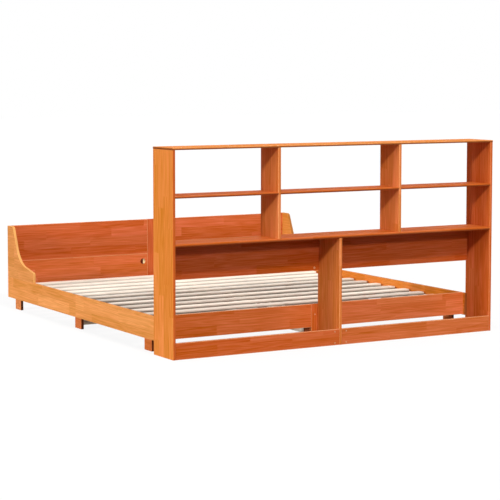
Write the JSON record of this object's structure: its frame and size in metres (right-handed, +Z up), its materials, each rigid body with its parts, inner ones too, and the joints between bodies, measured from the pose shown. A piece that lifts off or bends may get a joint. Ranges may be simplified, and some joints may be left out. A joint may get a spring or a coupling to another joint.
{
  "type": "storage bed frame",
  "caption": "Slatted double bed frame with a low winged foot end and an open bookcase with shelves, bays and plinths across the head end.",
  "frame": {"origin": "on the floor under the middle of the frame's bounding box", "axes": "+X across the bed, +Y from the bookcase towards the foot end, +Z up"},
  "size_m": [2.064, 2.294, 1.1],
  "materials": {
    "stained_pine": "satin waxed",
    "bare_pine": "planed, unfinished",
    "screw_steel": "zinc plated",
    "cam_cover": "plated"
  },
  "bodies": {
    "root": {"apron_cams": "cam_cover", "beam_bracket": "stained_pine", "bookcase_apron_left": "stained_pine", "bookcase_apron_right": "stained_pine", "bookcase_centre_panel": "stained_pine", "bookcase_deck": "stained_pine", "bookcase_divider_left": "stained_pine", "bookcase_divider_right": "stained_pine", "bookcase_plinth_left": "stained_pine", "bookcase_plinth_right": "stained_pine", "bookcase_shelf_left": "stained_pine", "bookcase_shelf_middle": "stained_pine", "bookcase_shelf_right": "stained_pine", "bookcase_side_left": "stained_pine", "bookcase_side_right": "stained_pine", "bookcase_top": "stained_pine", "centre_beam_foot": "bare_pine", "centre_beam_head": "bare_pine", "centre_leg_foot": "stained_pine", "centre_leg_head": "stained_pine", "cross_beam_left": "bare_pine", "cross_beam_right": "bare_pine", "foot_board_lower_left": "stained_pine", "foot_board_lower_right": "stained_pine", "foot_board_upper_left": "stained_pine", "foot_board_upper_right": "stained_pine", "foot_post": "stained_pine", "head_board_left": "stained_pine", "head_board_right": "stained_pine", "head_post": "stained_pine", "head_splice": "stained_pine", "leg_left_foot": "stained_pine", "leg_left_head": "stained_pine", "leg_left_middle": "stained_pine", "leg_right_foot": "stained_pine", "leg_right_head": "stained_pine", "leg_right_middle": "stained_pine", "plinth_cleats": "stained_pine", "side_rail_left_foot": "stained_pine", "side_rail_left_head": "stained_pine", "side_rail_right_foot": "stained_pine", "side_rail_right_head": "stained_pine", "slat_01": "bare_pine", "slat_02": "bare_pine", "slat_03": "bare_pine", "slat_04": "bare_pine", "slat_05": "bare_pine", "slat_06": "bare_pine", "slat_07": "bare_pine", "slat_08": "bare_pine", "slat_09": "bare_pine", "slat_10": "bare_pine", "slat_11": "bare_pine", "slat_12": "bare_pine", "slat_13": "bare_pine", "slat_ledger_left": "bare_pine", "slat_ledger_right": "bare_pine", "wing_left": "stained_pine", "wing_right": "stained_pine", "wood_screws": "screw_steel"}
  },
  "joints": []
}
